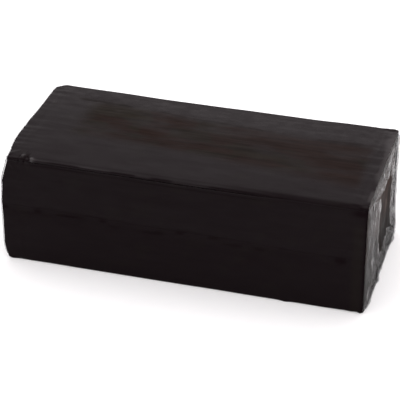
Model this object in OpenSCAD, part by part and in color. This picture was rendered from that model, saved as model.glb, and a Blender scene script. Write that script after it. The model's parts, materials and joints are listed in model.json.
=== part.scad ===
// Clay bar for cleaning car paint, in its clear film wrapper.
// Millimetres. +X runs along the bar, +Y to the back, +Z up.
// The origin is the middle of the face that the bar rests on.

/* [Bar] */
// Length of the clay between its two cut ends
clay_l = 96; // [70:1:140]
// Width of the wrapped bar
bar_w = 41; // [36:0.5:60]
// Height of the wrapped bar
bar_h = 31.4; // [24:0.2:50]
// Radius of the wrapped bar's four long edges
edge_r = 1.8; // [1.2:0.1:3]
// Radius of the edges round the clay's cut ends
end_r = 1.4; // [0.6:0.1:1.8]

/* [Wrapper] */
// Thickness of one layer of film
film = 0.2; // [0.1:0.05:0.25]
// How far down the front the second layer reaches below the top edge
lap_w = 14; // [4:0.5:16]
// How far a front flap reaches over the end of the clay
front_reach = 16.5; // [10:0.5:20]
// How far a back flap reaches over the end of the clay
back_reach = 9.5; // [5:0.5:12]
// How far a top flap hangs over the end of the clay
top_reach = 6.5; // [4:0.5:8]
// How far a bottom flap stands up over the end of the clay
bottom_reach = 7.5; // [4:0.5:8]

/* [Hidden] */
$fn = 48;
ENDS = ["right", "left"];
SIDES = ["front", "back", "top", "bottom"];
FLAP_NODES = [for (end = ENDS) for (side = SIDES) str(end, "_", side, "_flap")];

gap = 0.05;                         // air between the clay and the film round it
crease_r = 0.25;                    // radius of the rolled crease that a flap turns on
crease_in = 0.3;                    // crease line, in from the bar's outer faces
crease_x = clay_l / 2 + crease_in;  // crease line, along the bar
corner = 2.4;                       // a crease stops this far from the bar's corners
flap_gap = 0.3;                     // between one flap's edge and the next one's
pleat_r = 0.9;                      // radius of the gathered film at a corner
pleat_in = 1.2;                     // middle of the gathered film, in from both outer faces
pleat_t = 0.4;                      // how far the gathered film stands off the end

sleeve_w = bar_w - film;            // the second layer on the front makes up the full width
sleeve_y = film / 2;                // middle of the sleeve
clay_w = sleeve_w - 2 * (film + gap);
clay_h = bar_h - 2 * (film + gap);
clay_edge_r = edge_r - film - gap;

clay_colour = [0.13, 0.11, 0.105];
film_colour = [0.6, 0.59, 0.6, 0.22];

// Rectangle centred on the origin, with true arcs at its corners.
module rounded_rect(w, h, r) {
  square([w - 2 * r, h], center = true);
  square([w, h - 2 * r], center = true);
  for (x = [-1, 1], y = [-1, 1])
    translate([x * (w / 2 - r), y * (h / 2 - r)]) circle(r);
}

// Turns a section drawn in Y and Z into a bar of length l along X, centred on the origin.
module along_x(l) {
  translate([-l / 2, 0, 0]) rotate([90, 0, 90]) linear_extrude(l) children();
}

// The extruded lump of clay: round long edges, and softer edges round both cut ends.
module clay_bar() {
  color(clay_colour)
    translate([0, sleeve_y, bar_h / 2])
      intersection() {
        along_x(clay_l) rounded_rect(clay_w, clay_h, clay_edge_r);
        translate([0, 0, -clay_h / 2]) linear_extrude(clay_h) rounded_rect(clay_l, clay_w, end_r);
        translate([0, clay_w / 2, 0]) rotate([90, 0, 0])
          linear_extrude(clay_w) rounded_rect(clay_l, clay_h, end_r);
      }
}

// One turn of film round the four long faces.
module film_sleeve() {
  color(film_colour)
    translate([0, sleeve_y, bar_h / 2])
      along_x(clay_l)
        difference() {
          rounded_rect(sleeve_w, bar_h, edge_r);
          rounded_rect(sleeve_w - 2 * film, bar_h - 2 * film, edge_r - film);
        }
}

// The end of the sheet, where it lies over itself on the front under the top edge.
module film_lap() {
  color(film_colour)
    translate([-clay_l / 2, -bar_w / 2, bar_h - edge_r - lap_w])
      cube([clay_l, film, lap_w]);
}

// The film gathered at the four corners of one end, between the flaps.
module corner_pleats() {
  color(film_colour)
    for (y = [-1, 1], z = [0, 1])
      translate([clay_l / 2, y * (bar_w / 2 - pleat_in), z == 0 ? pleat_in : bar_h - pleat_in])
        rotate([0, 90, 0]) cylinder(r = pleat_r, h = pleat_t);
}

// A flap in its own frame: the crease lies along +Y from the origin, and the film reaches along +Z.
// across is the crease's full side of the end, and cut_a and cut_b are what the free edge loses
// at its two ends to the neighbouring flaps.
module flap(across, reach, cut_a, cut_b) {
  color(film_colour) {
    translate([0, corner, 0]) rotate([-90, 0, 0]) cylinder(r = crease_r, h = across - 2 * corner);
    translate([film / 2, 0, 0]) rotate([0, -90, 0]) linear_extrude(film)
      polygon([[0, corner], [0, across - corner],
               [reach - crease_in, across - cut_b], [reach - crease_in, cut_a]]);
  }
}

// One flap of the right end, closed over the clay.
module end_flap(side) {
  if (side == "front")
    translate([crease_x, -bar_w / 2 + crease_in, bar_h]) rotate([-90, 0, 0])
      flap(bar_h, front_reach, top_reach + flap_gap, bottom_reach + flap_gap);
  if (side == "back")
    translate([crease_x, bar_w / 2 - crease_in, 0]) rotate([90, 0, 0])
      flap(bar_h, back_reach, bottom_reach + flap_gap, top_reach + flap_gap);
  if (side == "top")
    translate([crease_x, bar_w / 2, bar_h - crease_in]) rotate([180, 0, 0])
      flap(bar_w, top_reach, back_reach, front_reach);
  if (side == "bottom")
    translate([crease_x, -bar_w / 2, crease_in])
      flap(bar_w, bottom_reach, front_reach, back_reach);
}

// Draws its children at the right end, or mirrored at the left end.
module at_end(end) {
  mirror([end == "left" ? 1 : 0, 0, 0]) children();
}

clay_bar();
film_sleeve();
film_lap();
for (end = ENDS) {
  at_end(end) corner_pleats();
  for (side = SIDES)
    at_end(end) end_flap(side);
}
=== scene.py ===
import json
import math

import bpy
import numpy as np
from mathutils import Matrix, Vector


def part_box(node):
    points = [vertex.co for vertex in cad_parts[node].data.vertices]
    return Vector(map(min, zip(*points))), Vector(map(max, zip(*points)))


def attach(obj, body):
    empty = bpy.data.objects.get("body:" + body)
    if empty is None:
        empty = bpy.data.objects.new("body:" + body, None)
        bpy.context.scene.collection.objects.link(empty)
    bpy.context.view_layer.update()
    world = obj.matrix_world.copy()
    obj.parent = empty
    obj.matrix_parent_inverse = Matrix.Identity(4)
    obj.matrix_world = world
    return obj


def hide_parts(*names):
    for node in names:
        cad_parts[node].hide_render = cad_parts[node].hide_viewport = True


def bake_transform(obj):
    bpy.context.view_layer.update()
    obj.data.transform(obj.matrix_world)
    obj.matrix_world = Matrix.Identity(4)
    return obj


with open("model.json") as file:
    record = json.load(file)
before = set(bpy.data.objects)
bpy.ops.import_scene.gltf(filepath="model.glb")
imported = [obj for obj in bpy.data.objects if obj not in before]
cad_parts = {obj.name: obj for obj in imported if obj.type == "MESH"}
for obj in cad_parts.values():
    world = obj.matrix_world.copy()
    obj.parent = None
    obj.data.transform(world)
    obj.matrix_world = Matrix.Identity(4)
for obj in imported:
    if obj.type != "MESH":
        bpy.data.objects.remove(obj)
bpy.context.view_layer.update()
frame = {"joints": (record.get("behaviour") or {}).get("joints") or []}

MM = 0.001

# A bar of detailing clay, still wrapped in clear film. The film is one sheet: a sleeve round the four
# long faces, with an overlap on the front, and four flaps folded over each end, with the film gathered
# at the corners between them.

# ------------------------------------------------------------------ sizes, mostly from the frame
SLEEVE_LOW, SLEEVE_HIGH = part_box("film_sleeve")
LAP_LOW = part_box("film_lap")[0]
CLAY_LOW, CLAY_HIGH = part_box("clay_bar")
HEIGHT = SLEEVE_HIGH.z
SLEEVE_Y = (SLEEVE_LOW.y + SLEEVE_HIGH.y) / 2
HALF_W = (SLEEVE_HIGH.y - SLEEVE_LOW.y) / 2
ROUNDS = {"bottom_front": 0.5 * MM, "top_front": 1.5 * MM,       # radii of the long edges,
          "top_back": 0.6 * MM, "bottom_back": 0.6 * MM}         # pressed sharper than in CAD
HINGE = {j["child"]: Vector(j["pos_m"]) for j in frame["joints"]}
CREASE_X = HINGE["right_top_flap"].x
CREASE_IN = HEIGHT - HINGE["right_top_flap"].z
ENDS = {"right": 1, "left": -1}
SIDES = ("front", "back", "top", "bottom")
UPRIGHT = ("front", "back")            # the sides whose flaps have an upright crease
FILM_T = 0.05 * MM                     # film as it shows, thinner than its CAD stand-in
CORNER = 2.4 * MM                      # a crease stops this far from the bar's corners

# ------------------------------------------------------------------ smooth seeded noise


def lattice(i, seed):
    """A fixed random number from -1 to 1 at each whole-number point of i."""
    h = (i[..., 0] * 374761393 + i[..., 1] * 668265263 + i[..., 2] * 1274126177
         + seed * 974634777) & 0xFFFFFFFF
    h = ((h ^ (h >> 13)) * 1103515245 + 12345) & 0xFFFFFFFF
    h = ((h ^ (h >> 16)) * 2246822519) & 0xFFFFFFFF
    return ((h ^ (h >> 15)) & 0xFFFFFF) / 0x7FFFFF - 1.0


def noise3(p, scale, seed):
    """Smooth noise from -1 to 1 at points p, with lumps of about scale, one size or one per axis."""
    q = p / np.asarray(scale, float)
    whole = np.floor(q).astype(np.int64)
    f = q - whole
    f = f * f * f * (f * (f * 6 - 15) + 10)
    total = 0.0
    for corner in np.ndindex(2, 2, 2):
        w = np.prod(np.where(corner, f, 1 - f), axis=-1)
        total = total + w * lattice(whole + np.array(corner), seed)
    return total


def fold_lines(p, scale, seed):
    """Noise with sharp crests at 1, like the folds of crumpled film."""
    return 1 - 2.4 * np.abs(noise3(p, scale, seed))


def smooth(a, b, x):
    """0 where x is before a, 1 after b, and a smooth step between. If b is below a, before means
    above a, and after means below b."""
    t = np.clip((x - a) / (b - a), 0, 1)
    return t * t * (3 - 2 * t)


def bell(x, middle, width):
    """1 at the middle, falling to 0 on both sides."""
    return np.exp(-(((x - middle) / width) ** 2))


def on_sheet(x, s):
    """Points for noise on the film laid flat, at x along the bar and s round it."""
    return np.stack(np.broadcast_arrays(x, s, 0.0 * x), -1)


# ------------------------------------------------------------------ the bar's own shape
# In these functions u runs from -1 at the left end to 1 at the right, v from -1 at the front to 1
# at the back, and w from 0 at the bottom to 1 at the top.


def long_faces_moves(p, u, v, w):
    """The crown of the top, the belly of the front and back, and slow waves."""
    crown = 0.45 * (1 - np.clip(v * v, 0, 1)) + 0.1
    wave = 0.1 * noise3(p, 19 * MM, 3)
    belly = 0.2 * (1 - (2 * w - 1) ** 2) * np.clip(v, -1, 1)
    drawn_under = 0.5 * smooth(0.3, 0, w) * smooth(-0.6, -1, v)
    move_x = 0.12 * noise3(p, 15 * MM, 7) * smooth(0.8, 1, np.abs(u))
    move_y = belly - drawn_under + 0.12 * w * noise3(p, 23 * MM, 5)
    return np.stack([move_x, move_y, w * w * (crown + wave)], -1) * MM


def left_end_moves(u, v, w):
    """The front edge of the left end bulges, and is drawn in at the top and at the bottom. The back
    of that end is drawn in towards the top, and the top rises a little there."""
    swell = -0.95 * smooth(-0.02, 0.16, w) * (1 - smooth(0.5, 0.95, w)) + 0.2 * smooth(0.05, 0, w)
    drawn = 0.3 * smooth(0.85, 1.0, w) + 1.1 * smooth(0.75, 1.0, w) * smooth(-0.5, -0.97, v)
    back = 0.55 * smooth(0.3, 0.9, w) * smooth(-0.3, 0.7, v)
    move_x = (swell * smooth(0.2, -0.85, v) + drawn + back) * smooth(-0.86, -1, u)
    move_z = 0.35 * w * w * smooth(-0.2, -0.85, u) * smooth(0.2, 0.9, v)
    return np.stack([move_x, 0 * move_x, move_z], -1) * MM


def right_end_moves(y, u, v, w):
    """The right end's foot is longer at the front, and two small tucks stand out along it."""
    foot = 0.5 * smooth(0.35, 0, w) * smooth(-1, -0.8, v) + 0.1 * smooth(0.2, 1, v)
    tucks = 0.5 * bell(y, -5.3 * MM, 1.1 * MM) + 0.4 * bell(y, 14.5 * MM, 0.9 * MM)
    tucks = tucks * smooth(0.12, 0.04, w) * smooth(0.95, 1, u)
    move_x = foot * smooth(0.86, 1, u) + tucks
    return np.stack([move_x, 0 * move_x, 0 * move_x], -1) * MM


def pressed_corner_moves(x, y, w):
    """The top corner at the left end of the back is pressed round."""
    r = 3.6 * MM
    past_x = (-CREASE_X + r) - x
    past_y = y - (SLEEVE_Y + HALF_W - r)
    inside = (past_x > 0) & (past_y > 0)
    length = np.hypot(past_x, past_y) + 1e-12
    share = np.where(inside, 1 - np.maximum(past_x, past_y) / length, 0.0) * smooth(0.5, 0.9, w)
    return np.stack([past_x * share, -past_y * share, 0 * share], -1)


def form(p):
    """Bends points of the straight bar to the hand-pressed shape of the real one."""
    x, y, z = p[..., 0], p[..., 1], p[..., 2]
    u = x / CREASE_X
    v = (y - SLEEVE_Y) / HALF_W
    w = np.clip(z / HEIGHT, 0, 1)
    out = p + long_faces_moves(p, u, v, w) + left_end_moves(u, v, w)
    out = out + right_end_moves(y, u, v, w) + pressed_corner_moves(x, y, w)
    out[..., 2] = np.maximum(out[..., 2], 0.02 * MM)
    return out


# ------------------------------------------------------------------ meshes


def new_piece(name, points, faces, material, body, nodes, loose=None):
    """A smooth mesh that stands for its CAD nodes, and rides on a body unless body is None.
    loose says how the film lies at each point: 1 is loose, 0 clings to the clay, -1 is stretched
    tight, and above 1 is a flap's own edge. Its paler colour is in places a painted highlight."""
    mesh = bpy.data.meshes.new(name)
    mesh.from_pydata(points.tolist(), [], faces)
    mesh.validate()
    mesh.shade_smooth()
    piece = bpy.data.objects.new(name, mesh)
    bpy.context.scene.collection.objects.link(piece)
    mesh.materials.append(material)
    if loose is not None:
        values = mesh.attributes.new("loose", "FLOAT", "POINT").data
        values.foreach_set("value", np.asarray(loose, np.float32))
    if body:
        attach(piece, body)
    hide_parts(*nodes)
    return piece


def grid_faces(rows, cols, start, closed, flipped):
    """Quads of a grid whose points are numbered from start. If it is closed, its last column is
    joined to its first."""
    i, j = np.meshgrid(np.arange(rows - 1), np.arange(cols if closed else cols - 1), indexing="ij")
    i, j = i.ravel(), j.ravel()
    k = (j + 1) % cols
    quads = np.stack([i * cols + j, (i + 1) * cols + j, (i + 1) * cols + k, i * cols + k], 1) + start
    return (quads[:, ::-1] if flipped else quads).tolist()


def normals_of(grid, closed):
    """Unit normals of a grid of points."""
    du = np.gradient(grid, axis=0)
    dv = (np.roll(grid, -1, 1) - np.roll(grid, 1, 1)) if closed else np.gradient(grid, axis=1)
    n = np.cross(du, dv)
    return n / np.maximum(np.linalg.norm(n, axis=-1, keepdims=True), 1e-12)


def film_mesh(grid, closed=False, flipped=False):
    """Points and faces of a thin film, without open edges, whose outer side is the grid."""
    rows, cols = grid.shape[:2]
    n = normals_of(grid, closed) * (-1 if flipped else 1)
    inner = grid - n * FILM_T
    count = rows * cols
    faces = grid_faces(rows, cols, 0, closed, flipped)
    faces += grid_faces(rows, cols, count, closed, not flipped)
    first, last = np.arange(cols), (rows - 1) * cols + np.arange(cols)
    borders = [(first, not flipped), (last, flipped)]
    if not closed:
        left, right = np.arange(rows) * cols, np.arange(rows) * cols + cols - 1
        borders += [(left, flipped), (right, not flipped)]
    for border, turned in borders:
        following = np.roll(border, -1) if closed else border[1:]
        for a, b in zip(border, following):
            quad = [int(a), int(b), int(b) + count, int(a) + count]
            faces.append(quad[::-1] if turned else quad)
    return np.concatenate([grid.reshape(-1, 3), inner.reshape(-1, 3)]), faces


# ------------------------------------------------------------------ the sleeve's section

CORNER_ARCS = {"bottom_front": (-1, 0, 270), "top_front": (-1, 1, 180),    # the side in y, whether
               "top_back": (1, 1, 90), "bottom_back": (1, 0, 0)}           # at the top, first angle
STEPS_BEFORE = {"bottom_front": 16, "top_front": 54, "top_back": 70, "bottom_back": 44}
STEPS_AFTER = 16
ARC_STEPS = 11


def section():
    """Points round the sleeve's section: distance along it, y, z and the outward normal, then the
    distances where each rounded edge starts and ends. It starts in the middle of the bottom, and
    goes up the front and over the top."""
    rows, marks = [], {}
    at, length = (0.0, 0.0), 0.0
    for name, (side, upper, first_angle) in CORNER_ARCS.items():
        r = ROUNDS[name]
        cy, cz = side * (HALF_W - r), (HEIGHT - r if upper else r)
        first = math.radians(first_angle)
        normal = (math.cos(first), math.sin(first))
        begin = (cy + r * normal[0], cz + r * normal[1])
        run = math.dist(at, begin)
        for t in np.arange(STEPS_BEFORE[name]) / STEPS_BEFORE[name]:
            y = at[0] + (begin[0] - at[0]) * t
            z = at[1] + (begin[1] - at[1]) * t
            rows.append((length + run * t, y, z, *normal))
        length += run
        arc = r * math.pi / 2
        marks[name] = (length, length + arc)
        for t in np.arange(ARC_STEPS) / ARC_STEPS:
            a = first - math.pi / 2 * t
            rows.append((length + arc * t, cy + r * math.cos(a), cz + r * math.sin(a),
                         math.cos(a), math.sin(a)))
        length += arc
        last = first - math.pi / 2
        at = (cy + r * math.cos(last), cz + r * math.sin(last))
    run = math.dist(at, (0.0, 0.0))
    for t in np.arange(STEPS_AFTER) / STEPS_AFTER:
        rows.append((length + run * t, at[0] * (1 - t), 0.0, 0.0, -1.0))
    s, y, z, ny, nz = np.array(rows).T
    return s, y + SLEEVE_Y, z, ny, nz, marks


S, SEC_Y, SEC_Z, SEC_NY, SEC_NZ, MARKS = section()
S_FRONT = MARKS["bottom_front"][1]              # distances round the section: where the front starts,
S_EDGE, S_TOP = MARKS["top_front"]              # where the top front edge starts, then the top
S_BACK = MARKS["top_back"][1]                   # and the back
CORNER_S = {name: (a + b) / 2 for name, (a, b) in MARKS.items()}

# ------------------------------------------------------------------ folds of the film round the bar


def crease(x, s, start, end, depth, width):
    """A fold line in the film from start to end, both (x, s), that fades out towards its end."""
    start_x, start_s = start
    end_x, end_s = end
    run_x, run_s = end_x - start_x, end_s - start_s
    length = math.hypot(run_x, run_s)
    t = ((x - start_x) * run_x + (s - start_s) * run_s) / length ** 2
    off = ((x - start_x) * -run_s + (s - start_s) * run_x) / length
    along = smooth(-0.06, 0.05, t) * (1 - smooth(0.35, 1.0, t))
    return depth * along * (bell(off, 0, width) - 0.45 * bell(off, 0, 2.6 * width))


def corner_folds(x, s):
    """Folds that run out of the gathered film at the corners of both ends."""
    draw = np.random.default_rng(11)
    folds_per_corner = 7
    total = 0.0
    for sign in ENDS.values():
        for corner in CORNER_S.values():
            for _ in range(folds_per_corner):
                angle = math.radians(draw.uniform(-62, 62))
                length = draw.uniform(4, 13) * MM * (1 - 0.5 * abs(math.sin(angle)))
                depth = draw.uniform(0.08, 0.2) * draw.choice([-1, 1]) * MM
                width = draw.uniform(0.3, 0.6) * MM
                begin = (sign * CREASE_X, corner + draw.uniform(-1.2, 1.2) * MM)
                end = (begin[0] - sign * length * math.cos(angle), corner + length * math.sin(angle))
                total = total + crease(x, s, begin, end, depth, width)
    return total


def hidden_side_folds(x, s):
    """Long soft tension folds, nine on the back and four on the underside."""
    draw = np.random.default_rng(17)
    places = [(S_BACK + 3 * MM, S_BACK + 28 * MM)] * 9 + [(3 * MM, S_FRONT - 2 * MM)] * 4
    total = 0.0
    for low_s, high_s in places:
        begin = (draw.uniform(-44, 44) * MM, draw.uniform(low_s, high_s))
        angle = math.radians(draw.uniform(-38, 38) + 180 * draw.integers(2))
        length = draw.uniform(14, 34) * MM
        end = (begin[0] + length * math.cos(angle), begin[1] + length * math.sin(angle))
        depth = draw.uniform(0.1, 0.2) * MM
        width = draw.uniform(0.5, 1.0) * MM
        total = total + crease(x, s, begin, end, depth, width)
    on_back = smooth(S_BACK, S_BACK + 3 * MM, s)
    on_underside = smooth(S_FRONT - 1 * MM, S_FRONT - 3 * MM, s)
    return total * np.maximum(on_back, on_underside)


# ------------------------------------------------------------------ the rolled edge on the front

KNOB_X = -40.1 * MM                    # the knob at the rolled edge's left end
SMALL_KNOB_X = -42.8 * MM
ROLL_END_X = 19 * MM                   # the rolled edge fades out from here
TIES = ((-41.0, -0.5, 1.0, 4.6), (-42.1, 0.35, 0.9, 3.8),      # creases beside the knob: x in mm,
        (-44.2, 0.1, 0.7, 3.4))                                # lean, depth, and length in mm


def roll_line(x):
    """Where round the section the rolled edge lies, at x along the bar."""
    return S_EDGE + 0.95 * MM - 0.45 * MM * smooth(-35 * MM, ROLL_END_X, x)


def wavy_roll_line(x):
    """The same line with the small waves of the film's shape."""
    return roll_line(x) + 0.1 * MM * np.sin(x / (9 * MM)) + 0.06 * MM * np.sin(x / (3.1 * MM))


def ridge_patches(x):
    """Where along the bar the rolled edge stands up and catches the light, from 0 to 1."""
    stands_up = smooth(0.0, 0.6, noise3(on_sheet(x, 0 * x), 5 * MM, 28))
    return np.maximum(stands_up, smooth(-33 * MM, -37 * MM, x))


def tie_creases(x, s):
    """The short creases that the knob pulls into the film beside it, from 0 to 1."""
    total = 0.0
    for at, lean, deep, length in TIES:
        place = at * MM + lean * (s - S_EDGE - 1.2 * MM)
        reach = smooth(S_EDGE - 0.6 * MM, S_EDGE + 0.6 * MM, s)
        reach = reach * (1 - smooth(S_EDGE + 2 * MM, S_EDGE + length * MM, s))
        total = total + deep * bell(x, place, 0.28 * MM) * reach
    return np.minimum(total, 1)


def front_ridge(x, s):
    """The rolled edge of film along the top edge of the front."""
    line = wavy_roll_line(x)
    rolled = 1 - smooth(10 * MM, 30 * MM, x)
    square = 0.34 * bell(s, S_EDGE + 0.95 * MM, 0.4 * MM) * rolled
    square = square - 0.28 * bell(s, S_EDGE + 1.2 * MM, 1.2 * MM) * (1 - rolled)
    high = 0.1 + 0.16 * ridge_patches(x)
    ridge = high * bell(s, line, 0.3 * MM) - 0.26 * bell(s, line - 0.85 * MM, 0.4 * MM)
    taper = smooth(KNOB_X - 0.5 * MM, KNOB_X + 0.3 * MM, x) * (1 - smooth(ROLL_END_X, 27 * MM, x))
    return (square + ridge * taper) * MM


def knobs(x, s):
    """The rolled edge's knobs, a knot at the right end, and a lump on the bottom front edge."""
    line = wavy_roll_line(x)
    knob = 0.6 * bell(x, KNOB_X, 0.62 * MM) * bell(s, line + 0.1 * MM, 0.55 * MM)
    small = 0.42 * bell(x, SMALL_KNOB_X, 0.55 * MM) * bell(s, line + 0.8 * MM, 0.5 * MM)
    knot = 0.4 * bell(x, 47.6 * MM, 0.6 * MM) * bell(s, S_EDGE + 1.0 * MM, 0.6 * MM)
    lump = 0.3 * bell(x, 28 * MM, 1.2 * MM) * bell(s, MARKS["bottom_front"][0], 0.9 * MM)
    return (knob + small - 0.34 * tie_creases(x, s) + knot + lump) * MM


# ------------------------------------------------------------------ how tightly the film lies, and painted highlights on the rolled edge


def lap_edge(x):
    """Where round the section the lap's cut edge lies, at x along the bar."""
    return S_FRONT + LAP_LOW.z + 0.2 * MM - 0.013 * x + 0.12 * MM * np.sin(x / (7 * MM))


def top_share(s):
    """1 on the top face, 0 on the others."""
    return smooth(S_TOP, S_TOP + 2 * MM, s) * (1 - smooth(S_BACK - 2 * MM, S_BACK, s))


def stand_off_and_highlight(x, s):
    """How far the rolled edge, its knobs and the top's right rim stand off the clay; on the rolled
    edge and its knobs this is also a painted highlight in the film's colour.
    """
    line = roll_line(x)
    # painted highlight: the rolled edge is drawn paler, brighter in patches
    ridge = (0.02 + 0.33 * ridge_patches(x)) * bell(s, line + 0.15 * MM, 0.24 * MM)
    ridge = ridge * smooth(-40.5 * MM, -40 * MM, x) * (1 - smooth(12 * MM, 22 * MM, x))
    # painted highlights on the two knobs
    knob = 0.9 * bell(x, KNOB_X, 0.7 * MM) * bell(s, line + 0.15 * MM, 0.6 * MM)
    small = 0.6 * bell(x, SMALL_KNOB_X, 0.5 * MM) * bell(s, line + 0.85 * MM, 0.45 * MM)
    blotch = smooth(-0.6, 0.6, noise3(on_sheet(x, s), (1.6 * MM, 3 * MM, 1), 27))
    rim = top_share(s) * blotch * 0.5 * smooth(CREASE_X - 3 * MM, CREASE_X, x)
    return ridge + knob + small + rim


def slack_film(x, s):
    """How slack the film is on the back half of the top, and in cloudy patches on the back."""
    flat = on_sheet(x, s)
    speckle = noise3(flat, (2.2 * MM, 1.0 * MM, 1), 29)
    speckle = speckle + 0.6 * noise3(flat, (0.9 * MM, 0.5 * MM, 1), 30)
    slack = (0.22 + 0.12 * speckle) * smooth(S_TOP + 16 * MM, S_BACK - 3 * MM, s)
    slack = slack * (1 - smooth(S_BACK, S_BACK + 3 * MM, s))
    clouds = smooth(0.0, 0.8, noise3(flat, (13 * MM, 4.5 * MM, 1), 26))
    clouds = 0.2 * clouds * smooth(S_BACK, S_BACK + 4 * MM, s)
    return slack + clouds + 0.2 * np.clip(hidden_side_folds(x, s) / (0.15 * MM), 0, 1)


def tight_film(x, s):
    """How tight the film is on the front, over the edges, round the ends, in the creases by the knob
    and in a row of short marks below the lap's edge."""
    edge = lap_edge(x)
    dashes = smooth(0.2, 0.6, noise3(on_sheet(x, s), (3 * MM, 1.2 * MM, 1), 36))
    dashes = dashes * bell(s, edge - 0.8 * MM, 1.1 * MM)
    tight = 0.9 * tie_creases(x, s) + 0.7 * bell(s, CORNER_S["top_back"], 0.8 * MM) + 0.5 * dashes
    front_side = smooth(S_EDGE + 1 * MM, S_EDGE, s)
    at_rim = bell(x, CREASE_X, 0.5 * MM) * (1 - top_share(s))
    tight = tight + (0.2 + 0.6 * front_side) * at_rim
    tight = tight + 0.9 * bell(x, 46.6 * MM, 2.4 * MM) * bell(s, S_EDGE - 0.5 * MM, 1.0 * MM)
    on_front = smooth(0, S_FRONT, s) * smooth(S_EDGE, S_EDGE - 2 * MM, s)
    below_lap = smooth(edge + 1 * MM, edge - 1 * MM, s) * smooth(0, S_FRONT, s)
    below_lap = below_lap * (0.08 + 0.12 * bell(s, edge - 3 * MM, 4 * MM))
    return tight + 0.18 * on_front + below_lap


def looseness(x, s):
    """How the film lies at x along the bar and s round it: 1 is loose and hazy, 0 clings, and -1 is
    stretched so tight over an edge or into a crease that it hardly shines. Above 0 it also paints
    a highlight on the rolled edge and its knobs."""
    return np.clip(stand_off_and_highlight(x, s) + slack_film(x, s) - tight_film(x, s), -1, 1)


# ------------------------------------------------------------------ the film round the long faces


def wrinkles(x, s):
    """How far the film stands out from the smooth sleeve, at x along the bar and s round it."""
    flat = on_sheet(x, s)
    streaks = 0.012 * noise3(flat, (34 * MM, 1.7 * MM, 1), 21)
    fine_streaks = 0.006 * noise3(flat, (14 * MM, 0.9 * MM, 1), 22)
    soft = 0.05 * noise3(flat, (9 * MM, 6 * MM, 1), 23)
    to_end = CREASE_X - np.abs(x)
    pull = 0.1 * np.exp(-to_end / (4.5 * MM)) * fold_lines(flat, (11 * MM, 2.1 * MM, 1), 24)
    cross = np.where(x > 0, 0.07, 0.03) * bell(to_end, 3.4 * MM, 2.2 * MM)
    cross = cross * fold_lines(flat, (1.6 * MM, 12 * MM, 1), 25)
    tuck = -0.1 * np.exp(-to_end / (0.5 * MM))
    stand_out = (streaks + fine_streaks + soft + pull + cross + tuck) * MM
    stand_out = stand_out + corner_folds(x, s) + front_ridge(x, s) + knobs(x, s)
    return np.maximum(stand_out + hidden_side_folds(x, s), -0.3 * MM)


def straight_surface(x, s, stand_off=0.0):
    """Points of the film round the straight bar, at x along it and s round its section."""
    y, z = np.interp(s, S, SEC_Y), np.interp(s, S, SEC_Z)
    ny, nz = np.interp(s, S, SEC_NY), np.interp(s, S, SEC_NZ)
    d = wrinkles(x, s) + stand_off
    return np.stack([x, y + ny * d, z + nz * d], -1)


def sleeve_surface(x, s, stand_off=0.0):
    """The same points on the hand-pressed bar."""
    return form(straight_surface(x, s, stand_off))


def along_bar(half):
    """Places along the bar, closer together near both ends."""
    near_length = 9 * MM
    middle = half - near_length
    near = np.linspace(0, near_length, 27)[:-1]
    return np.concatenate([-half + near, np.linspace(-middle, middle, 110), (half - near)[::-1]])


def make_sleeve(material):
    """The film once round the four long faces."""
    x, s = np.meshgrid(along_bar(CREASE_X), S, indexing="ij")
    points, faces = film_mesh(sleeve_surface(x, s), closed=True)
    loose = np.tile(looseness(x, s).ravel(), 2)
    return new_piece("sleeve_skin", points, faces, material, "wrapped_bar", ["film_sleeve"],
                     loose)


def make_lap(material):
    """The second layer on the front, from the rolled edge down to a nearly straight cut edge."""
    rows_up = np.linspace(0, 1, 46) ** 1.3
    x, t = np.meshgrid(along_bar(CREASE_X - 0.15 * MM), rows_up, indexing="ij")
    low = lap_edge(x)
    s = low + (S_EDGE + 0.5 * MM - low) * t
    lift = FILM_T * (0.25 + smooth(0, 2.5 * MM, s - low))
    points, faces = film_mesh(sleeve_surface(x, s, lift))
    loose = looseness(x, s) + 0.03 - 0.14 * (1 - smooth(0, 0.8 * MM, s - low))
    loose = np.tile(loose.ravel(), 2)
    return new_piece("lap_skin", points, faces, material, "wrapped_bar", ["film_lap"], loose)


# ------------------------------------------------------------------ the lump of clay

CLAY_ROUND = 1.5 * MM
CLAY_INSET = 0.12 * MM                 # drawn this far inside its CAD front, back and top
CLAY_STEPS = (0.85 * MM, 0.62 * MM, 0.6 * MM)


def ring_steps(low, high, r, step, turns=6):
    """Coordinates from low to high, with closer ones in the last r at both ends."""
    near = r * (1 - np.tan(np.linspace(math.pi / 4, 0, turns + 1)))
    n = max(2, round((high - low - 2 * r) / step))
    return np.concatenate([low + near, np.linspace(low + r, high - r, n + 1)[1:-1],
                           (high - near)[::-1]])


def box_grid(low, high):
    """Points and quads of a finely gridded box, with the points of its sides joined."""
    steps = [ring_steps(low[k], high[k], CLAY_ROUND, CLAY_STEPS[k]) for k in range(3)]
    points, faces, count = [], [], 0
    for k in range(3):
        a, b = (k + 1) % 3, (k + 2) % 3
        ga, gb = np.meshgrid(steps[a], steps[b], indexing="ij")
        for side, value in enumerate((low[k], high[k])):
            p = np.zeros(ga.shape + (3,))
            p[..., a], p[..., b], p[..., k] = ga, gb, value
            points.append(p.reshape(-1, 3))
            faces += grid_faces(*ga.shape, count, False, side == 0)
            count += ga.size
    joined = 1e-7
    key, index = np.unique(np.round(np.concatenate(points) / joined).astype(np.int64), axis=0,
                           return_inverse=True)
    index = index.ravel()
    return key * joined, [[int(index[i]) for i in face] for face in faces]


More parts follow.
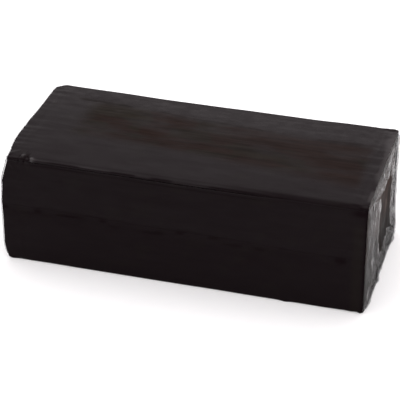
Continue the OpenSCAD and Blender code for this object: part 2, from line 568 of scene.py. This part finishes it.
def make_clay(material):
    """The extruded lump, with round edges, drag lines along it and rough cut ends."""
    low = np.array(CLAY_LOW) + (0, CLAY_INSET, 0)
    high = np.array(CLAY_HIGH) - (0, CLAY_INSET, CLAY_INSET)
    p, faces = box_grid(low, high)
    core = np.clip(p, low + CLAY_ROUND, high - CLAY_ROUND)
    n = p - core
    n /= np.maximum(np.linalg.norm(n, axis=1, keepdims=True), 1e-12)
    p = core + n * CLAY_ROUND
    drag = 0.05 * noise3(p, (60 * MM, 1.7 * MM, 1.7 * MM), 31)
    drag = drag + 0.05 * noise3(p, (16 * MM, 5 * MM, 5 * MM), 32)
    cut = 0.06 * noise3(p, (5 * MM, 9 * MM, 1.3 * MM), 33) + 0.09 * noise3(p, 4 * MM, 34)
    at_end = smooth(0.6, 0.95, np.abs(n[:, 0]))
    p += n * ((drag * (1 - at_end) + cut * at_end - 0.08)[:, None] * MM)
    return new_piece("clay_lump", form(p), faces, material, "wrapped_bar", ["clay_bar"])


# ------------------------------------------------------------------ the flaps at the ends

REACH = {"front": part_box("right_front_flap")[1].y - LAP_LOW.y,
         "back": SLEEVE_HIGH.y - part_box("right_back_flap")[0].y,
         "top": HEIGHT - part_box("right_top_flap")[0].z,
         "bottom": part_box("right_bottom_flap")[1].z}
CREASE_AT = {"front": HINGE["right_front_flap"].y, "back": HINGE["right_back_flap"].y,
             "top": HINGE["right_top_flap"].z, "bottom": HINGE["right_bottom_flap"].z}
# the flaps that a flap meets at its two slanting edges
CUTS = {"front": ("bottom", "top"), "back": ("bottom", "top"),
        "top": ("front", "back"), "bottom": ("front", "back")}
# points out from the crease and along it
GRID = {"front": (84, 72), "back": (34, 72), "top": (30, 96), "bottom": (26, 96)}
# how much longer than in CAD
LONGER = {"front": -0.5 * MM, "back": 0.2 * MM, "top": 0.0, "bottom": 0.6 * MM}
# how milky each flap is at its two slanting edges; the top flap's rise towards the back is a painted
# highlight
FLAP_HAZE_AND_HIGHLIGHT = {"front": (-0.35, -0.2), "back": (-0.4, 0.05),          # at a flap's two slanting edges
        "top": (-0.6, 0.3), "bottom": (-0.38, -0.42)}
INWARD = {"front": (0, 1, 0), "back": (0, -1, 0), "top": (0, 0, -1), "bottom": (0, 0, 1)}
MITRE_GAP = 0.06 * MM                  # between a flap's slanting edge and the line it shares
ROLL = 0.27 * MM                       # radius of the film's turn at a shut flap's crease


def flap_outline(side, t, r, seed, slant):
    """Places on the flap laid flat, along its crease and out from it. t runs from 0 to 1 along the
    crease and r from 0 at the crease to 1 at the ragged free edge."""
    low, high = (0, HEIGHT) if side in UPRIGHT else (SLEEVE_Y - HALF_W, SLEEVE_Y + HALF_W)
    reach = REACH[side] - CREASE_IN
    ragged = on_sheet(t * 6, 0 * t)
    edge_wave = 0.9 * MM * noise3(ragged, 1, seed) + 0.4 * MM * noise3(ragged, 0.3, seed + 6)
    edge_wave = edge_wave + slant * (t - 0.5)
    out = (reach + LONGER[side]) * r + edge_wave * r ** 3
    over = np.maximum(out - reach, 0)
    cut_a, cut_b = (np.maximum(REACH[c] * np.minimum(out / reach, 1) + over + MITRE_GAP,
                               CORNER - 1.6 * out) for c in CUTS[side])
    along = low + cut_a + (high - low - cut_a - cut_b) * t
    return along, out, high - low, reach


def flap_folds(side, flat, seed):
    """The flap's large folds and its small crushed ones."""
    size = np.array((14 * MM, 2.5 * MM, 1) if side in UPRIGHT else (2.6 * MM, 2.8 * MM, 1))
    folds = 0.6 * fold_lines(flat, size, seed + 1) + 0.4 * fold_lines(flat, size * 0.47, seed + 2)
    crush = 0.5 * fold_lines(flat, (4.6 * MM, 3.8 * MM, 1), seed + 3)
    crush = crush + 0.5 * fold_lines(flat, 1.7 * MM, seed + 4)
    return folds, crush


def flap_grid(side, seed, slant):
    """Outer points of a flap on the right end, from its crease to its free edge, and how loose the
    film is at each. Its own edges are marked by values above 1."""
    rows, cols = GRID[side]
    t, r = np.meshgrid(np.linspace(0, 1, cols), np.linspace(0, 1, rows))
    a, out, width, reach = flap_outline(side, t, r, seed, slant)
    angle = np.clip(out / ROLL, 0, math.pi / 2)
    quarter = ROLL * math.pi / 2
    stand = ROLL * np.sin(angle)
    down = np.where(out < quarter, ROLL * (1 - np.cos(angle)) - ROLL, out - quarter)
    flat = on_sheet(a, out)
    folds, crush = flap_folds(side, flat, seed)
    free_edge = smooth(0.86, 0.99, r)              # near the free edge the film is lifted a little
    lift = 0.2 * folds + 0.13 * crush + 0.03 * noise3(flat, 0.7 * MM, seed + 5)
    lift = lift + 0.2 + 0.06 * free_edge
    lift = np.maximum(lift * smooth(0.3 * MM, 1.4 * MM, out), -0.1) * MM
    haze_a, haze_b = FLAP_HAZE_AND_HIGHLIGHT[side]
    # milkier film is drawn paler; on the top flap towards the back this is a painted highlight
    milky = 0.6 * folds + 0.4 * crush + 0.1 * free_edge + haze_a + (haze_b - haze_a) * t
    loose = smooth(-0.35, 0.6, milky) * smooth(0.3 * MM, 1.5 * MM, out)
    slanting = bell(np.minimum(t, 1 - t) * width, 0, 0.25 * MM)
    rim = np.maximum(bell(r, 1, 0.25 * MM / reach), slanting)
    loose = loose + 2 * rim * (r > 0.03)
    x = CREASE_X + stand + lift - 0.12 * MM * smooth(0, 3 * MM, out)
    other = CREASE_AT[side] + sum(INWARD[side]) * down
    return np.stack([x, other, a] if side in UPRIGHT else [x, a, other], -1), loose


def make_flap(end, side, material):
    """A flap that lies on one end, bends at its crease and belongs to the sleeve there."""
    seed = 40 + 10 * SIDES.index(side) + (100 if end == "left" else 0)
    slant = -1.6 * MM if (end, side) == ("right", "front") else 0.8 * MM
    grid, loose = flap_grid(side, seed, slant)
    if end == "left":
        grid[..., 0] *= -1
    turned = (side in ("front", "top")) == (end == "right")
    points, faces = film_mesh(form(grid), flipped=turned)
    node = f"{end}_{side}_flap"
    piece = new_piece(node + "_film", points, faces, material, None, [node],
                      np.tile(loose.ravel(), 2))
    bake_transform(piece)
    return piece


# ------------------------------------------------------------------ the gathered corners

PLEAT_APEX_IN = 4.4 * MM               # the folds meet this far in from the side
PLEAT_APEX_UP = 2.6 * MM               # and this far from the bottom or the top
FOLDS_IN_FAN = 4.5


def make_pleats(end, material):
    """The film gathered at the four corners of one end, as fans of small folds."""
    points, faces, loose = [], [], []
    count, sign = 0, ENDS[end]
    for number, (corner, (side, upper, _)) in enumerate(CORNER_ARCS.items()):
        corner_s, r = CORNER_S[corner], ROUNDS[corner]
        span = CORNER - r + r * math.pi / 4 + 0.4 * MM
        s, t = np.meshgrid(np.linspace(-span, span, 61) + corner_s, np.linspace(0, 1, 22),
                           indexing="ij")
        rim_x = np.full_like(s, sign * (CREASE_X - 0.1 * MM))
        rim = straight_surface(rim_x, s, -0.05 * MM)
        apex_z = HEIGHT - PLEAT_APEX_UP if upper else PLEAT_APEX_UP
        apex = np.array([0, SLEEVE_Y + side * (HALF_W - PLEAT_APEX_IN), apex_z])
        across = (s - corner_s) / span
        gather = np.abs(((across * FOLDS_IN_FAN + 0.3 * number) % 1) - 0.5) * 2
        p = rim + (apex - rim) * t[..., None]
        fold = gather * np.sin(math.pi * np.clip(t * 1.05, 0, 1)) * (1 - 0.6 * np.abs(across))
        rough = 0.04 * noise3(p, 0.9 * MM, 70 + number) - 0.1 * smooth(0.6, 1, t)
        p[..., 0] = sign * (CREASE_X + (0.35 * fold + rough - 0.18) * MM)
        new_points, new_faces = film_mesh(form(p), flipped=end == "right")
        faces += [[i + count for i in f] for f in new_faces]
        points.append(new_points)
        loose.append(np.tile(smooth(0.0, 0.9, fold).ravel(), 2))
        count += len(new_points)
    return new_piece(f"{end}_pleats", np.concatenate(points), faces, material, "wrapped_bar",
                     [f"{end}_corner_pleats"], np.concatenate(loose))


# ------------------------------------------------------------------ materials


def set_range(node, low, high, out_low, out_high):
    """The numbers of a Map Range node."""
    limits = (("From Min", low), ("From Max", high), ("To Min", out_low), ("To Max", out_high))
    for key, number in limits:
        node.inputs[key].default_value = number


class Nodes:
    """Short calls for the nodes of one material."""

    def __init__(self, name):
        self.material = bpy.data.materials.new(name)
        self.material.use_nodes = True
        self.tree = self.material.node_tree
        self.tree.nodes.clear()
        self.shader = self.add("ShaderNodeBsdfPrincipled")
        out = self.add("ShaderNodeOutputMaterial")
        self.link(self.shader.outputs[0], out.inputs[0])
        self.place = self.add("ShaderNodeTexCoord").outputs["Object"]

    def add(self, kind, **values):
        node = self.tree.nodes.new(kind)
        for key, value in values.items():
            setattr(node, key, value)
        return node

    def link(self, a, b):
        self.tree.links.new(a, b)

    def put(self, value, socket):
        """A number, colour or node output goes into the socket."""
        if isinstance(value, bpy.types.NodeSocket):
            self.link(value, socket)
        else:
            socket.default_value = value

    def set(self, name, value):
        """The same for one of the shader's own inputs."""
        self.put(value, self.shader.inputs[name])

    def axes(self):
        """The x, y and z of each point."""
        node = self.add("ShaderNodeSeparateXYZ")
        self.link(self.place, node.inputs[0])
        return node.outputs

    def noise(self, size, stretch=(1, 1, 1), detail=3.0, rough=0.55, seed=0.0):
        """Noise from 0 to 1 with lumps of about size metres, made longer by stretch."""
        mapping = self.add("ShaderNodeMapping")
        mapping.inputs["Scale"].default_value = [1 / (size * s) for s in stretch]
        mapping.inputs["Location"].default_value = (seed, seed * 0.7, seed * 1.3)
        self.link(self.place, mapping.inputs["Vector"])
        texture = self.add("ShaderNodeTexNoise")
        texture.inputs["Scale"].default_value = 1.0
        texture.inputs["Detail"].default_value = detail
        texture.inputs["Roughness"].default_value = rough
        self.link(mapping.outputs[0], texture.inputs["Vector"])
        return texture.outputs[0]

    def math(self, operation, a, b=0.0):
        node = self.add("ShaderNodeMath", operation=operation)
        self.put(a, node.inputs[0])
        self.put(b, node.inputs[1])
        return node.outputs[0]

    def product(self, first, *others):
        for other in others:
            first = self.math("MULTIPLY", first, other)
        return first

    def distance(self, value, middle):
        """How far the value is from the middle, on either side."""
        return self.math("ABSOLUTE", self.math("SUBTRACT", value, middle))

    def band(self, value, low, high, out_low=0.0, out_high=1.0):
        """out_low where the value is at low, out_high at high, and a smooth step between."""
        node = self.add("ShaderNodeMapRange", interpolation_type="SMOOTHSTEP")
        self.put(value, node.inputs["Value"])
        set_range(node, low, high, out_low, out_high)
        return node.outputs[0]

    def mix(self, share, a, b):
        """Colour a where share is 0, and b where it is 1."""
        node = self.add("ShaderNodeMix", data_type="RGBA")
        self.put(share, node.inputs[0])
        for value, socket in ((a, node.inputs[6]), (b, node.inputs[7])):
            self.put((*value, 1) if isinstance(value, tuple) else value, socket)
        return node.outputs[2]

    def bump(self, height, strength, distance):
        node = self.add("ShaderNodeBump")
        node.inputs["Strength"].default_value = strength
        node.inputs["Distance"].default_value = distance
        self.put(height, node.inputs["Height"])
        self.link(node.outputs[0], self.shader.inputs["Normal"])
        self.link(node.outputs[0], self.shader.inputs["Coat Normal"])


DARK_PUTTY = (0.0046, 0.0023, 0.0030), (0.0068, 0.0037, 0.0046)
OLIVE_PUTTY, RED_PUTTY = (0.0140, 0.0108, 0.0082), (0.0155, 0.0088, 0.0072)
FAINT_OLIVE, FAINT_RED = (0.0088, 0.0068, 0.0052), (0.0100, 0.0055, 0.0044)
BAND_BORDER = (0.0040, 0.0028, 0.0022)
OLIVE_TINGE = (0.0080, 0.0060, 0.0046)
RIGHT_EDGE_OLIVE = (0.0100, 0.0076, 0.0052)
TORN_DARK, TORN_BROWN = (0.012, 0.0065, 0.005), (0.036, 0.022, 0.017)
TORN_PALE, PIT_SHADOW = (0.072, 0.052, 0.046), (0.005, 0.003, 0.0026)
TORN_LOW = (0.010, 0.0085, 0.0082)
# pale grey of film standing off the clay: its milky haze, and on the rolled edge and its knobs a
# painted highlight
FILM_HAZE_AND_HIGHLIGHT = (0.045, 0.04, 0.041)


def band_shares(m, x, y, z, patches):
    """The shares of the band along the top, where the film lies close and warmer clay shows through
    it, and of the band's darker border."""
    sway = m.noise(0.022, (2.5, 1, 1), 2, seed=3)
    centre = m.math("SUBTRACT", m.product(sway, 0.007), m.product(x, 0.07))
    centre = m.math("SUBTRACT", centre, 0.0016)
    band = m.band(m.distance(y, centre), 0.0065, 0.012, 1, 0)
    band = m.product(band, m.band(x, -0.037, -0.031), m.band(x, 0.0425, 0.0455, 1, 0),
                     m.band(z, 0.029, 0.0305))
    border = m.band(m.distance(m.math("SUBTRACT", y, centre), 0.0098), 0.0002, 0.0009, 1, 0)
    border = m.product(border, m.band(patches, 0.4, 0.5), m.band(z, 0.029, 0.0305),
                       m.band(x, -0.041, -0.036), m.band(x, 0.042, 0.046, 1, 0))
    return band, border


def warm_putty(m, x, streaks):
    """Brown and olive clay, redder in two stretches of the bar."""
    red_part = m.math("MAXIMUM", m.band(x, 0.001, 0.009, 0, 0.16),
                      m.band(m.distance(x, -0.010), 0.004, 0.009, 0.16, 0))
    hue = m.noise(0.007, (2.2, 1, 1), 2, 0.5, seed=11)
    hue = m.band(m.math("ADD", hue, red_part), 0.54, 0.62)
    faint = m.mix(hue, FAINT_OLIVE, FAINT_RED)
    return m.mix(m.band(streaks, 0.35, 0.6), faint, m.mix(hue, OLIVE_PUTTY, RED_PUTTY))


def dark_putty(m, x, z, streaks):
    """Nearly black clay, with a faint olive tinge in patches and in a line near the right end."""
    tinge = m.band(m.noise(0.005, (1.6, 1, 1), 3, 0.55, seed=19), 0.56, 0.66, 0, 0.22)
    dark = m.mix(tinge, m.mix(streaks, *DARK_PUTTY), OLIVE_TINGE)
    edge = m.band(m.distance(x, 0.0463), 0.0004, 0.0022, 0.35, 0)
    return m.mix(m.product(edge, m.band(z, 0.024, 0.028, 1, 0)), dark, RIGHT_EDGE_OLIVE)


def putty_colour(m):
    """The clay's colour on the long faces, its fine drag streaks, and the share of the band along the
    top where the film lies close."""
    x, y, z = m.axes()
    streaks = m.noise(0.0011, (26, 1, 1), 4, 0.62)
    patches = m.noise(0.008, (2.6, 1, 1), 3, 0.5, seed=7)
    band, border = band_shares(m, x, y, z, patches)
    share = m.product(band, m.band(patches, 0.34, 0.54, 0.5, 1))
    share = m.math("MAXIMUM", share, m.product(border, 0.6))
    share = m.product(share, m.band(x, -0.012, 0.0, 1, 0.78))
    warm = m.mix(m.product(border, 0.7), warm_putty(m, x, streaks), BAND_BORDER)
    return m.mix(share, dark_putty(m, x, z, streaks), warm), streaks, share


def clay_material():
    """Very dark putty, brown and torn where the bar was cut off at its ends, with painted shadow
    in pits there, and darker low down there."""
    m = Nodes("clay_putty")
    colour, _, _ = putty_colour(m)
    x, _, z = m.axes()
    torn = m.noise(0.0035, (1, 1, 3), 5, 0.6, seed=5)
    pulled = m.noise(0.0026, (1, 1, 2.4), 4, 0.62, seed=17)
    pit_shadows = m.noise(0.0045, (1, 1, 1.3), 2, 0.5, seed=13)
    end_colour = m.mix(m.band(torn, 0.3, 0.7), TORN_DARK, TORN_BROWN)
    end_colour = m.mix(m.band(pulled, 0.46, 0.68), end_colour, TORN_PALE)
    # painted shadow: near-black pits stand for the shade in deep gaps of the torn end
    end_colour = m.mix(m.band(pit_shadows, 0.52, 0.68, 0, 0.8), end_colour, PIT_SHADOW)
    end_colour = m.mix(m.band(z, 0.0105, 0.0145, 0.75, 0), end_colour, TORN_LOW)
    at_end = m.band(m.math("ABSOLUTE", x), 0.0462, 0.0474)
    m.set("Base Color", m.mix(at_end, colour, end_colour))
    m.set("Roughness", m.band(torn, 0.2, 0.8, 0.5, 0.7))
    m.set("Specular IOR Level", 0.03)
    grain = m.noise(0.0004, (1, 1, 1), 3, 0.6, seed=2)
    m.bump(m.math("ADD", m.product(torn, 0.8), m.product(grain, 0.3)), 0.5, 0.00015)
    return m.material


def wet_film_material():
    """Film drawn tight over the clay: the clay's colour under a soft clear gloss."""
    m = Nodes("film_on_clay")
    colour, streaks, band = putty_colour(m)
    loose = m.add("ShaderNodeAttribute", attribute_name="loose").outputs["Fac"]
    # paler where the film stands off: haze, and a painted highlight on the rolled edge and its knobs
    m.set("Base Color", m.mix(m.band(loose, 0, 1), colour, FILM_HAZE_AND_HIGHLIGHT))
    m.set("Roughness", m.band(streaks, 0.2, 0.8, 0.4, 0.6))
    m.set("Specular IOR Level", 0.0)
    cling = m.noise(0.0025, (3.5, 1, 1), 5, 0.7, seed=9)
    blotches = m.noise(0.009, (2.2, 1, 1), 3, 0.5, seed=15)
    gloss = m.product(m.band(cling, 0.3, 0.7, 0.8, 1.0), m.band(blotches, 0.35, 0.65, 0.93, 1.0))
    gloss = m.math("SUBTRACT", gloss, m.product(band, 0.64))
    gloss = m.product(gloss, m.band(loose, -1, 0, 0.2, 1))
    m.set("Coat Weight", gloss)
    m.set("Coat IOR", 1.15)
    m.set("Coat Roughness", 0.26)
    fine = m.noise(0.0006, (9, 1, 1), 3, 0.6, seed=6)
    m.bump(m.math("ADD", m.product(streaks, 0.4), m.product(fine, 0.25)), 0.5, 0.00008)
    return m.material


CLEAR_FILM = (0.016, 0.015, 0.0155), (0.03, 0.029, 0.0295)
HAZY_FILM = (0.10, 0.096, 0.098), (0.20, 0.195, 0.198)
FOLD_GLARE = (0.5, 0.49, 0.495)


def loose_film_opacity(m, loose, lines, marks):
    """How solid the loose film looks: nearly clear face on, more solid at a slant, in hazy facets
    that paint glints, on fold lines and stress marks, and at its own edges, where loose is above 1."""
    glint_facets = m.noise(0.0017, (1, 1, 1.4), 3, 0.6, seed=21)
    spots = m.noise(0.0019, (1, 1, 1.2), 2, 0.5, seed=25)
    # painted glints: in the facets the pale film is drawn more solid
    hazy = m.product(m.band(loose, 0.1, 0.95, 0, 0.2), m.band(glint_facets, 0.42, 0.64, 0.25, 2.2),
                     m.band(spots, 0.54, 0.63, 1, 0.1))
    facing = m.add("ShaderNodeLayerWeight")
    facing.inputs["Blend"].default_value = 0.5
    slant = m.band(facing.outputs["Facing"], 0.3, 1.0, 0.75, 1.0)
    solid = m.product(m.math("ADD", hazy, 0.2), slant)
    for more in (m.band(loose, 1.2, 2.2, 0, 0.24), m.product(lines, 0.22), m.product(marks, 0.04)):
        solid = m.math("ADD", solid, more)
    return solid


def loose_film_material():
    """Clear crumpled wrapping film: clear face on, with glare at a slant, faint stress marks, and pale
    fold lines that are painted glare.
    """
    m = Nodes("film_crumpled")
    loose = m.add("ShaderNodeAttribute", attribute_name="loose").outputs["Fac"]
    creases = m.noise(0.0013, (1, 1, 2.2), 5, 0.66)
    marks = m.band(m.distance(creases, 0.5), 0.0, 0.025, 1, 0)
    lines = m.noise(0.0032, (1, 1, 2.6), 4, 0.6, seed=8)
    lines = m.product(m.band(m.distance(lines, 0.5), 0.012, 0.04, 1, 0), m.band(loose, 0.1, 0.7))
    m.set("Alpha", loose_film_opacity(m, loose, lines, marks))
    haze = m.noise(0.006, (1, 1, 2), 3, 0.6, seed=4)
    grey = m.mix(m.band(loose, 0.1, 0.8), m.mix(haze, *CLEAR_FILM), m.mix(haze, *HAZY_FILM))
    # painted glare: fold lines are drawn in a pale grey
    m.set("Base Color", m.mix(lines, grey, FOLD_GLARE))
    m.set("Roughness", m.band(haze, 0.25, 0.75, 0.12, 0.24))
    m.set("Specular IOR Level", 0.6)
    m.bump(m.math("ADD", creases, m.product(marks, 0.15)), 0.5, 0.0003)
    return m.material


FLOOR_WHITE = (0.78, 0.78, 0.785), (0.82, 0.82, 0.82)


def floor_material():
    """Plain white paper, with a little light of its own, so that it stays white."""
    m = Nodes("floor_paper")
    speckle = m.noise(0.004, detail=2)
    m.set("Base Color", m.mix(speckle, *FLOOR_WHITE))
    m.set("Emission Color", (1, 1, 1, 1))
    m.set("Emission Strength", 0.2)
    m.set("Roughness", 0.9)
    m.set("Specular IOR Level", 0.0)
    return m.material


# ------------------------------------------------------------------ camera, floor and light

CAMERA_ANGLES = (16.46, 31.81, -0.45)  # azimuth, elevation and roll in degrees
CAMERA_DISTANCE = 0.4528
CAMERA_LENS, CAMERA_SENSOR = 152.59, 36
AIM_RIGHT, AIM_UP = -0.00073, -0.00166           # from the bar's centre to the middle of the frame
LAMPS = (("key", (-0.25, 0.45, 1.3), 1.2, 3),    # place and diameter in metres, power in watts
         ("fill", (0.7, -0.4, 1.0), 1.0, 1))
FLOOR_HALF = 3.0
FLOOR_DROP = 0.03 * MM                 # the floor lies this far below the film


def make_camera():
    azimuth, elevation, roll = (math.radians(a) for a in CAMERA_ANGLES)
    back = Vector((math.sin(azimuth) * math.cos(elevation),
                   -math.cos(azimuth) * math.cos(elevation), math.sin(elevation)))
    level = Vector((math.cos(azimuth), math.sin(azimuth), 0))
    above = back.cross(level)
    right = level * math.cos(roll) + above * math.sin(roll)
    up = above * math.cos(roll) - level * math.sin(roll)
    data = bpy.data.cameras.new("camera")
    data.sensor_width, data.lens = CAMERA_SENSOR, CAMERA_LENS
    data.clip_start, data.clip_end = 0.01, 20
    camera = bpy.data.objects.new("camera", data)
    bpy.context.scene.collection.objects.link(camera)
    turned = Matrix((right, up, back)).transposed().to_4x4()
    aim = Vector((0, 0, HEIGHT / 2)) + right * AIM_RIGHT + up * AIM_UP
    turned.translation = aim + back * CAMERA_DISTANCE
    camera.matrix_world = turned
    bpy.context.scene.camera = camera


def make_floor():
    mesh = bpy.data.meshes.new("floor")
    corners = [(x * FLOOR_HALF, y * FLOOR_HALF, 0) for x, y in ((-1, -1), (1, -1), (1, 1), (-1, 1))]
    mesh.from_pydata(corners, [], [(0, 1, 2, 3)])
    mesh.materials.append(floor_material())
    floor = bpy.data.objects.new("floor", mesh)
    floor.location.z = -FLOOR_DROP
    bpy.context.scene.collection.objects.link(floor)


def ramp(tree, value, low, high, out_low, out_high):
    """A straight ramp from out_low at low to out_high at high."""
    node = tree.nodes.new("ShaderNodeMapRange")
    tree.links.new(value, node.inputs["Value"])
    set_range(node, low, high, out_low, out_high)
    return node.outputs[0]


def make_world():
    """A soft studio surround, stronger behind the bar and overhead."""
    world = bpy.data.worlds.new("studio")
    bpy.context.scene.world = world
    world.use_nodes = True
    tree = world.node_tree
    where = tree.nodes.new("ShaderNodeSeparateXYZ")
    tree.links.new(tree.nodes.new("ShaderNodeTexCoord").outputs["Generated"], where.inputs[0])
    total = tree.nodes.new("ShaderNodeMath")
    tree.links.new(ramp(tree, where.outputs["Y"], -0.9, 0.9, 0.5, 1.2), total.inputs[0])
    tree.links.new(ramp(tree, where.outputs["Z"], 0.45, 0.95, 0.0, 1.0), total.inputs[1])
    background = tree.nodes["Background"]
    background.inputs["Color"].default_value = (1, 0.965, 0.975, 1)
    tree.links.new(total.outputs[0], background.inputs["Strength"])


def make_lamps():
    for name, place, size, watts in LAMPS:
        light = bpy.data.lights.new(name, "AREA")
        light.shape, light.size, light.energy = "DISK", size, watts
        lamp = bpy.data.objects.new(name, light)
        lamp.location = place
        lamp.rotation_euler = (-Vector(place)).to_track_quat("-Z", "Y").to_euler()
        bpy.context.scene.collection.objects.link(lamp)


make_camera()
make_floor()
make_world()
make_lamps()
bpy.context.scene.view_settings.view_transform = "Standard"

clay = clay_material()
wet_film = wet_film_material()
loose_film = loose_film_material()
clay_lump = make_clay(clay)
sleeve = make_sleeve(wet_film)
rest_of_sheet = [make_lap(wet_film)]
for end in ENDS:
    rest_of_sheet.append(make_pleats(end, loose_film))
    rest_of_sheet += [make_flap(end, side, loose_film) for side in SIDES]
